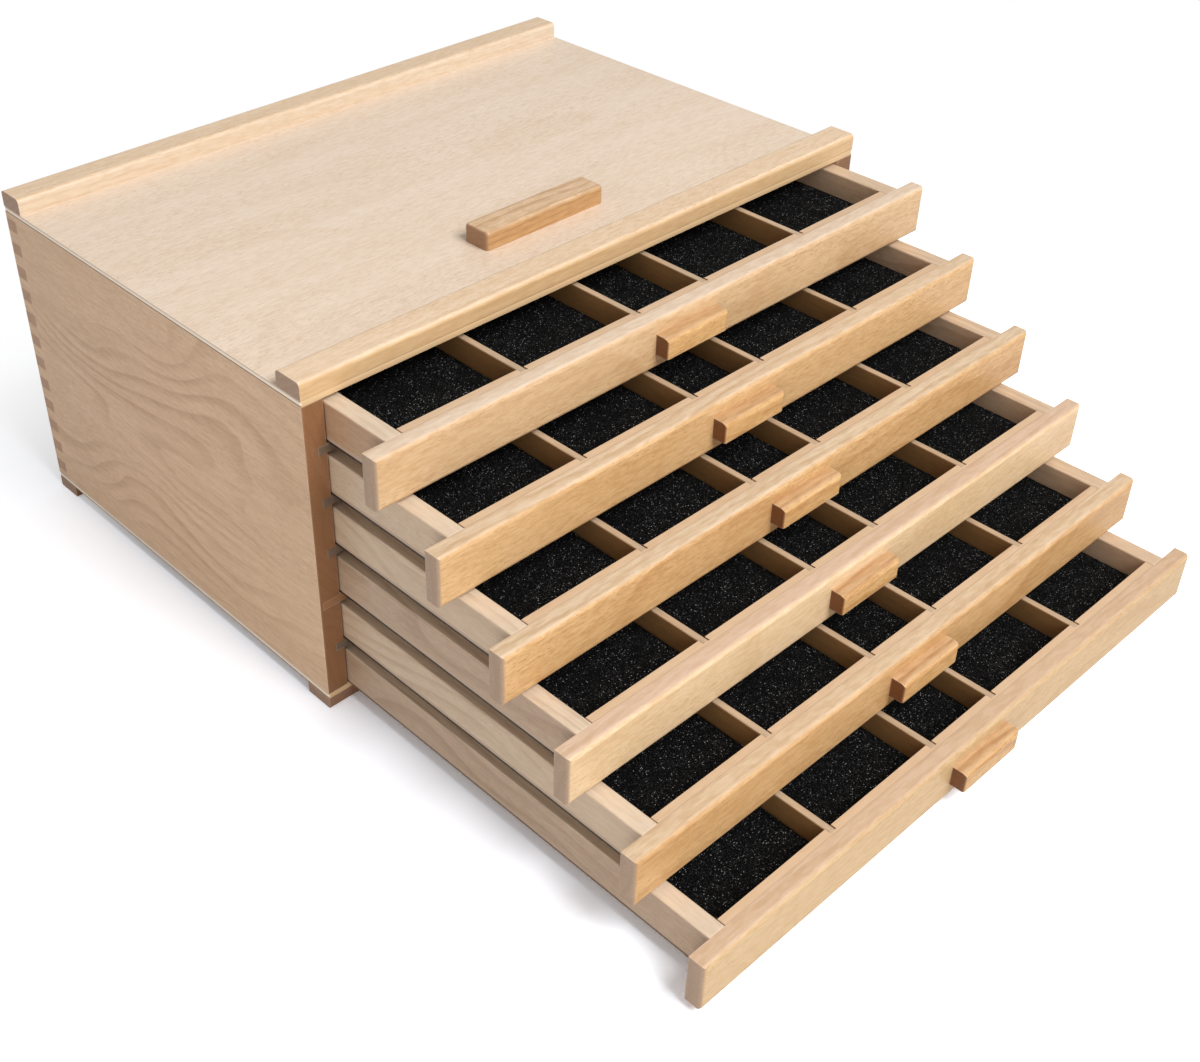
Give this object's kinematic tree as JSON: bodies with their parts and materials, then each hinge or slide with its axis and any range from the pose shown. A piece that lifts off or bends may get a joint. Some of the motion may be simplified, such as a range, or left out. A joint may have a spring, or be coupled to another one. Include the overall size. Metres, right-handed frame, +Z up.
{
  "type": "pencil drawer box",
  "caption": "Wooden tabletop drawer box with shallow divided, foam-lined drawers on runners, finger-jointed case, bar handles and feet, for pencils and craft tools.",
  "frame": {"origin": "on the table, at the centre of the front foot's flat underside", "axes": "+X to the right along the width as seen from the front, +Y from the drawer fronts to the back panel, +Z up"},
  "size_m": [0.4, 0.5328, 0.1985],
  "materials": {
    "beech": "satin, thin clear lacquer",
    "beech_case": "satin, thin clear lacquer",
    "beech_dark": "satin, thin clear lacquer",
    "plywood": "satin, thin clear lacquer",
    "foam": "matt, fine open cells"
  },
  "bodies": {
    "case": {"left_side": "beech_case", "right_side": "beech_case", "back_panel": "beech_case", "bottom_panel": "plywood", "top_panel": "plywood", "mid_shelf": "beech_case", "runners": "beech_dark", "front_top_rail": "beech", "rear_top_rail": "beech", "top_handle": "beech", "feet": "beech_case"},
    "drawer_1": {"drawer_1_front": "beech", "drawer_1_handle": "beech", "drawer_1_left_side": "beech", "drawer_1_right_side": "beech", "drawer_1_end_boards": "beech", "drawer_1_bottom": "plywood", "drawer_1_dividers": "beech", "drawer_1_foam_pads": "foam"},
    "drawer_2": {"drawer_2_front": "beech", "drawer_2_handle": "beech", "drawer_2_left_side": "beech", "drawer_2_right_side": "beech", "drawer_2_end_boards": "beech", "drawer_2_bottom": "plywood", "drawer_2_dividers": "beech", "drawer_2_foam_pads": "foam"},
    "drawer_3": {"drawer_3_front": "beech", "drawer_3_handle": "beech", "drawer_3_left_side": "beech", "drawer_3_right_side": "beech", "drawer_3_end_boards": "beech", "drawer_3_bottom": "plywood", "drawer_3_dividers": "beech", "drawer_3_foam_pads": "foam"},
    "drawer_4": {"drawer_4_front": "beech", "drawer_4_handle": "beech", "drawer_4_left_side": "beech", "drawer_4_right_side": "beech", "drawer_4_end_boards": "beech", "drawer_4_bottom": "plywood", "drawer_4_dividers": "beech", "drawer_4_foam_pads": "foam"},
    "drawer_5": {"drawer_5_front": "beech", "drawer_5_handle": "beech", "drawer_5_left_side": "beech", "drawer_5_right_side": "beech", "drawer_5_end_boards": "beech", "drawer_5_bottom": "plywood", "drawer_5_dividers": "beech", "drawer_5_foam_pads": "foam"},
    "drawer_6": {"drawer_6_front": "beech", "drawer_6_handle": "beech", "drawer_6_left_side": "beech", "drawer_6_right_side": "beech", "drawer_6_end_boards": "beech", "drawer_6_bottom": "plywood", "drawer_6_dividers": "beech", "drawer_6_foam_pads": "foam"}
  },
  "joints": [
    {"name": "drawer_1_slide", "type": "slide", "parent": "case", "child": "drawer_1", "axis": [0, -1, 0], "range_m": [-0.043, 0.207]},
    {"name": "drawer_2_slide", "type": "slide", "parent": "case", "child": "drawer_2", "axis": [0, -1, 0], "range_m": [-0.0835, 0.1665]},
    {"name": "drawer_3_slide", "type": "slide", "parent": "case", "child": "drawer_3", "axis": [0, -1, 0], "range_m": [-0.124, 0.126]},
    {"name": "drawer_4_slide", "type": "slide", "parent": "case", "child": "drawer_4", "axis": [0, -1, 0], "range_m": [-0.1645, 0.0855]},
    {"name": "drawer_5_slide", "type": "slide", "parent": "case", "child": "drawer_5", "axis": [0, -1, 0], "range_m": [-0.205, 0.045]},
    {"name": "drawer_6_slide", "type": "slide", "parent": "case", "child": "drawer_6", "axis": [0, -1, 0], "range_m": [-0.2455, 0.0045]}
  ]
}
